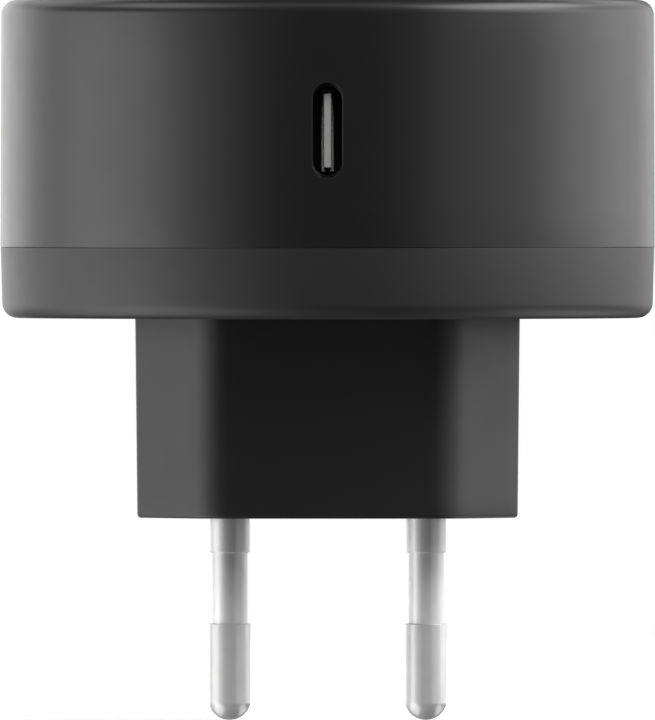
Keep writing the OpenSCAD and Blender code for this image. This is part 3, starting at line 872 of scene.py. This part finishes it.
def plug_base():
    """The drafted, grooved boss with its flange inside the drum."""
    flange_low = wall_z + FLOOR_T
    groove_edge = GROOVE_HALF + MOUTH_ROUND + 0.01 * MM
    closed_plan = [Vector((math.copysign(BASE_HALF_W, p.x), p.y))
        if abs(p.y) <= groove_edge and abs(p.x) > BASE_HALF_W / 2 else p
        for p in base_outline(0, True)]
    angles = [math.atan2(p.y, p.x) for p in closed_plan]
    flange_plan = [Vector((math.cos(a), math.sin(a))) * FLANGE_R for a in angles]
    hollow = base_hollow()
    hollow_plan = [polar_on(hollow, a) for a in angles]
    bm = bmesh.new()
    rings = []
    for k in range(END_STEPS + 1):
        a = math.radians(90 * k / END_STEPS)
        inset = BASE_DRAFT + END_EDGE * (1 - math.sin(a))
        rings.append(plan_ring(bm, base_outline(inset, True), END_EDGE * (1 - math.cos(a))))
    for k in range(1, BASE_ROWS + 1):
        t = k / BASE_ROWS
        z = END_EDGE + (wall_z - END_EDGE) * t
        rings.append(plan_ring(bm, base_outline(BASE_DRAFT * (1 - t), True), z))
    rings.append(plan_ring(bm, closed_plan, wall_z))
    rings.append(plan_ring(bm, closed_plan, flange_low))
    rings.append(plan_ring(bm, flange_plan, flange_low))
    rings.append(plan_ring(bm, flange_plan, base_high.z))
    rings.append(plan_ring(bm, hollow_plan, base_high.z))
    rings.append(plan_ring(bm, hollow_plan, END_WALL))
    for low, high in zip(rings, rings[1:]):
        bridge(bm, low, high)
    bm.faces.new(rings[0])
    bm.faces.new(rings[-1])
    bmesh.ops.remove_doubles(bm, verts=bm.verts, dist=1e-7)
    bmesh.ops.dissolve_degenerate(bm, dist=1e-6, edges=bm.edges)

    def post(tool):
        solid_round(tool, 0, 0, POST_R, END_WALL - 0.5 * MM, END_WALL + POST_H)

    def holes(tool):
        for side in (-1, 1):
            solid_round(tool, side * pin_x, 0, collar_r + PIN_HOLE_GAP, -MM, END_WALL + MM)
        solid_round(tool, 0, 0, PILOT_R, PILOT_LOW, PILOT_HIGH)
        for x, y in SCREW_PLACES:
            solid_round(tool, x, y, SCREW_CLEAR_R, flange_low - MM, base_high.z + MM)

    bm = carve(bm, post, "UNION")
    bm = carve(bm, holes)
    publish("plug_base_moulding", bm, "base_plastic", HOUSING, "plug_base", sharp=25)


# ---------------------------------------------------------------- pins

PIN_R = 2 * MM
CORE_R = 1.4 * MM           # the pin inside its sleeve
WAIST_R = 1.73 * MM
COLLAR_LOW = -3.3 * MM
DOME_H = 1.55 * MM
DOME_STEPS = 16
HEAD_R = 3.2 * MM           # the pin's head, above the end wall, and then its thin tail
HEAD_HIGH = 3.7 * MM
TAIL_R = 1.2 * MM


def turned(name, x, profile, material, node):
    """A turned piece at the given place along X."""
    bm = bmesh.new()
    lathe(bm, [(p.x, p.y) for p in profile], PIN_COLUMNS)
    bmesh.ops.translate(bm, verts=bm.verts, vec=(x, 0, 0))
    publish(name, bm, material, HOUSING, node, sharp=14)


def pins():
    """Two mains pins with domed ends, each with a sleeve that has a collar and a waist."""
    neck_z = sleeve_low.z
    sleeve_top = sleeve_high.z
    dome_r = (PIN_R * PIN_R + DOME_H * DOME_H) / (2 * DOME_H)
    sweeps = [math.asin(PIN_R / dome_r) * i / DOME_STEPS for i in range(DOME_STEPS + 1)]
    dome = [Vector((dome_r * math.sin(a), pin_low.z + dome_r * (1 - math.cos(a)))) for a in sweeps]
    shaft = [dome[-1], (PIN_R, neck_z), (CORE_R, neck_z), (CORE_R, sleeve_top),
        (HEAD_R, sleeve_top), (HEAD_R, HEAD_HIGH), (TAIL_R, HEAD_HIGH), (TAIL_R, pin_high.z),
        (0, pin_high.z)]
    shaft_radii = [0, 0.05 * MM, 0, 0, 0.15 * MM, 0.15 * MM, 0, 0.2 * MM, 0]
    pin = dome[:-1] + rounded(shaft, shaft_radii)
    sleeve = rounded([(CORE_R, neck_z), (WAIST_R, neck_z), (WAIST_R, COLLAR_LOW),
        (collar_r, COLLAR_LOW), (collar_r, sleeve_top), (CORE_R, sleeve_top)],
        [0, 0.03 * MM, 0.1 * MM, 0.03 * MM, 0, 0])
    for side, word in ((-1, "live"), (1, "neutral")):
        x = side * pin_x
        turned(f"{word}_pin_turned", x, pin, "pin_nickel", f"{word}_pin")
        turned(f"{word}_pin_sleeve_moulding", x, sleeve + [sleeve[0]], "sleeve_grey",
            f"{word}_pin_sleeve")


# ---------------------------------------------------------------- port

SHEET = 0.25 * MM
TONGUE_T = 0.7 * MM
TONGUE_L = 7 * MM
ROOT_T = 1.16 * MM
ROOT_L = 7.8 * MM
ROOT_DEPTH = 1.4 * MM
ROOT_SUNK = 0.3 * MM        # how far the root reaches into the insert
NOSE = 0.1 * MM
BAR_ROUND = 0.12 * MM
INSERT_L = 8.44 * MM
INSERT_T = 2.66 * MM
SLOT_POINTS = 96


def slot_ring(bm, length, thickness, y):
    """An upright slot outline round the port's middle."""
    points = stadium(length, thickness, SLOT_POINTS)
    return [bm.verts.new((x, y, port_z + z)) for x, z in points]


def usb_shell():
    """The receptacle's drawn steel shell, with a rounded mouth."""
    length = socket_high.z - socket_low.z
    thickness = socket_high.x - socket_low.x
    bm = bmesh.new()
    back_y = socket_high.y
    section = [(0, mouth_y + 0.08 * MM), (0, back_y), (SHEET, back_y), (SHEET, mouth_y + 0.12 * MM),
        (SHEET - 0.06 * MM, mouth_y + 0.03 * MM), (SHEET / 2, mouth_y),
        (0.05 * MM, mouth_y + 0.02 * MM)]
    rings = [slot_ring(bm, length - 2 * t, thickness - 2 * t, y) for t, y in section]
    for low, high in zip(rings, rings[1:] + rings[:1]):
        bridge(bm, low, high)
    publish("usb_shell_drawn", bm, "socket_steel", HOUSING, "usb_shell")


def rounded_bar(bm, size_x, size_z, low_y, high_y):
    """A bar along Y with rounded long edges and a rounded nose."""
    rings = []
    bend = 0.35 * NOSE
    for inset, y in ((NOSE, low_y), (bend, low_y + bend), (0, low_y + NOSE), (0, high_y)):
        x, z = size_x / 2 - inset, size_z / 2 - inset
        radius = max(BAR_ROUND - inset, 0.02 * MM)
        outline = rounded([(x, -z), (x, z), (-x, z), (-x, -z)], [radius] * 4, closed=True)
        rings.append([bm.verts.new((p.x, y, port_z + p.y)) for p in outline])
    for low, high in zip(rings, rings[1:]):
        bridge(bm, low, high)
    bm.faces.new(rings[0])
    bm.faces.new(rings[-1])


def usb_tongue():
    """The contact tongue, its thick root and the insert that closes the shell."""
    low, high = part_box("usb_tongue")
    bm = bmesh.new()
    rounded_bar(bm, TONGUE_T, TONGUE_L, low.y, tongue_root_y)
    rounded_bar(bm, ROOT_T, ROOT_L, tongue_root_y - ROOT_DEPTH, tongue_root_y + ROOT_SUNK)
    front, back = (slot_ring(bm, INSERT_L, INSERT_T, y) for y in (tongue_root_y, high.y))
    bridge(bm, front, back)
    bm.faces.new(front)
    bm.faces.new(back)
    publish("usb_tongue_moulding", bm, "socket_grey", HOUSING, "usb_tongue", sharp=20)


# ---------------------------------------------------------------- button and light ring

RING_INNER_R = 6.6 * MM
RING_BORE_R = 8.2 * MM
RING_LIP = 0.4 * MM
BUTTON_R = 6.4 * MM
BUTTON_DISH = 0.22 * MM
DISH_STEPS = 12
NIB_R = 1.5 * MM
FLANGE_LOW = ceiling_z - 1.4 * MM
FLANGE_HIGH = ceiling_z - 0.5 * MM


def light_ring():
    """The milky ring that guides light to the face round the button."""
    outer = hole_r - RING_GAP
    lip = ceiling_z - RING_LIP
    path = rounded([(RING_INNER_R, lip), (RING_INNER_R, ring_high.z), (outer, ring_high.z),
        (outer, ceiling_z), (ring_high.x, ceiling_z), (ring_high.x, ring_low.z),
        (RING_BORE_R, ring_low.z), (RING_BORE_R, lip)],
        [0.05 * MM, 0.12 * MM, 0.12 * MM, 0, 0.1 * MM, 0.1 * MM, 0.1 * MM, 0])
    bm = bmesh.new()
    lathe(bm, [(p.x, p.y) for p in path], FACE_COLUMNS, closed=True)
    publish("light_ring_moulding", bm, "light_guide", HOUSING, "light_ring")


def button_cap():
    """The round push button, slightly dished, with its retaining flange and nib."""
    top = cap_high.z
    shares = [i / DISH_STEPS for i in range(DISH_STEPS + 1)]
    crown = [(0.9 * BUTTON_R * t, top - BUTTON_DISH * (1 - t ** 2)) for t in shares]
    path = rounded([(0, cap_low.z), (NIB_R, cap_low.z), (NIB_R, FLANGE_LOW),
        (cap_high.x, FLANGE_LOW), (cap_high.x, FLANGE_HIGH), (BUTTON_R, FLANGE_HIGH),
        (BUTTON_R, top), crown[-1]], [0, 0.1 * MM, 0, 0.1 * MM, 0.1 * MM, 0, 0.3 * MM, 0])
    profile = [(p.x, p.y) for p in path] + crown[-2::-1]
    bm = bmesh.new()
    lathe(bm, profile, FACE_COLUMNS)
    publish("button_cap_moulding", bm, "button_plastic", BUTTON, "button_cap")


front_shell()
bosses()
rear_shell()
plug_base()
pins()
usb_shell()
usb_tongue()
light_ring()
button_cap()
